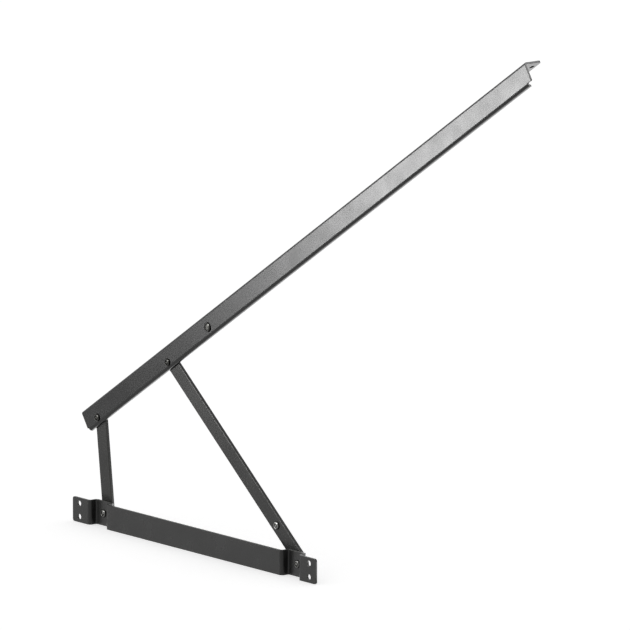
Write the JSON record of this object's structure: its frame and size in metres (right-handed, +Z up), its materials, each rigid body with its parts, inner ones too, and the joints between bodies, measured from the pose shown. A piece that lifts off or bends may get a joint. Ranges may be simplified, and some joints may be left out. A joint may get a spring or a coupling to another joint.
{
  "type": "bed lift mechanism",
  "caption": "Bed lift hinge: a folded wall bracket and a long flanged lift arm joined by a short and a long flat link, with pins for a gas spring that raises the bed base.",
  "frame": {"origin": "on the face that lies on the side board, at the middle of the bracket's length and height", "axes": "+X along the bracket towards the long link, +Y away from the board into the bed box, +Z up"},
  "size_m": [1.0899, 0.0496, 0.8765],
  "materials": {
    "powder_coat": "semi-gloss dark grey powder coat",
    "rivet_steel": "zinc plated steel, satin",
    "zinc_steel": "bright zinc plated steel"
  },
  "bodies": {
    "base": {"base_bracket": "powder_coat", "rivet_base_short": "rivet_steel", "rivet_base_long": "rivet_steel", "spacer_base_short": "rivet_steel", "spacer_base_long": "rivet_steel"},
    "long_link": {"long_link": "powder_coat", "link_stud": "zinc_steel"},
    "lift_arm": {"lift_arm": "powder_coat", "rivet_arm_short": "rivet_steel", "rivet_arm_long": "rivet_steel", "spacer_arm_short": "rivet_steel", "spacer_arm_long": "rivet_steel", "arm_stud": "zinc_steel", "arm_stud_nut": "zinc_steel"},
    "short_link": {"short_link": "powder_coat", "rivet_base_short_tail": "rivet_steel"}
  },
  "joints": [
    {"name": "lift", "type": "hinge", "parent": "base", "child": "long_link", "pos_m": [0.24132, 0.0245, 0], "axis": [0, -1, 0], "range_deg": [0, 34.21]},
    {"name": "arm_on_long_link", "type": "hinge", "parent": "long_link", "child": "lift_arm", "pos_m": [-0.08083, 0.0245, 0.26859], "axis": [0, -1, 0], "range_deg": [-67.45, 0]},
    {"name": "short_link_on_arm", "type": "hinge", "parent": "lift_arm", "child": "short_link", "pos_m": [-0.25892, 0.0245, 0.15191], "axis": [0, -1, 0], "range_deg": [0, 101.22]}
  ],
  "couplings": [
    {"joint": "arm_on_long_link", "follows": "lift", "ratio": -1.9714},
    {"joint": "short_link_on_arm", "follows": "lift", "ratio": 2.9588}
  ]
}
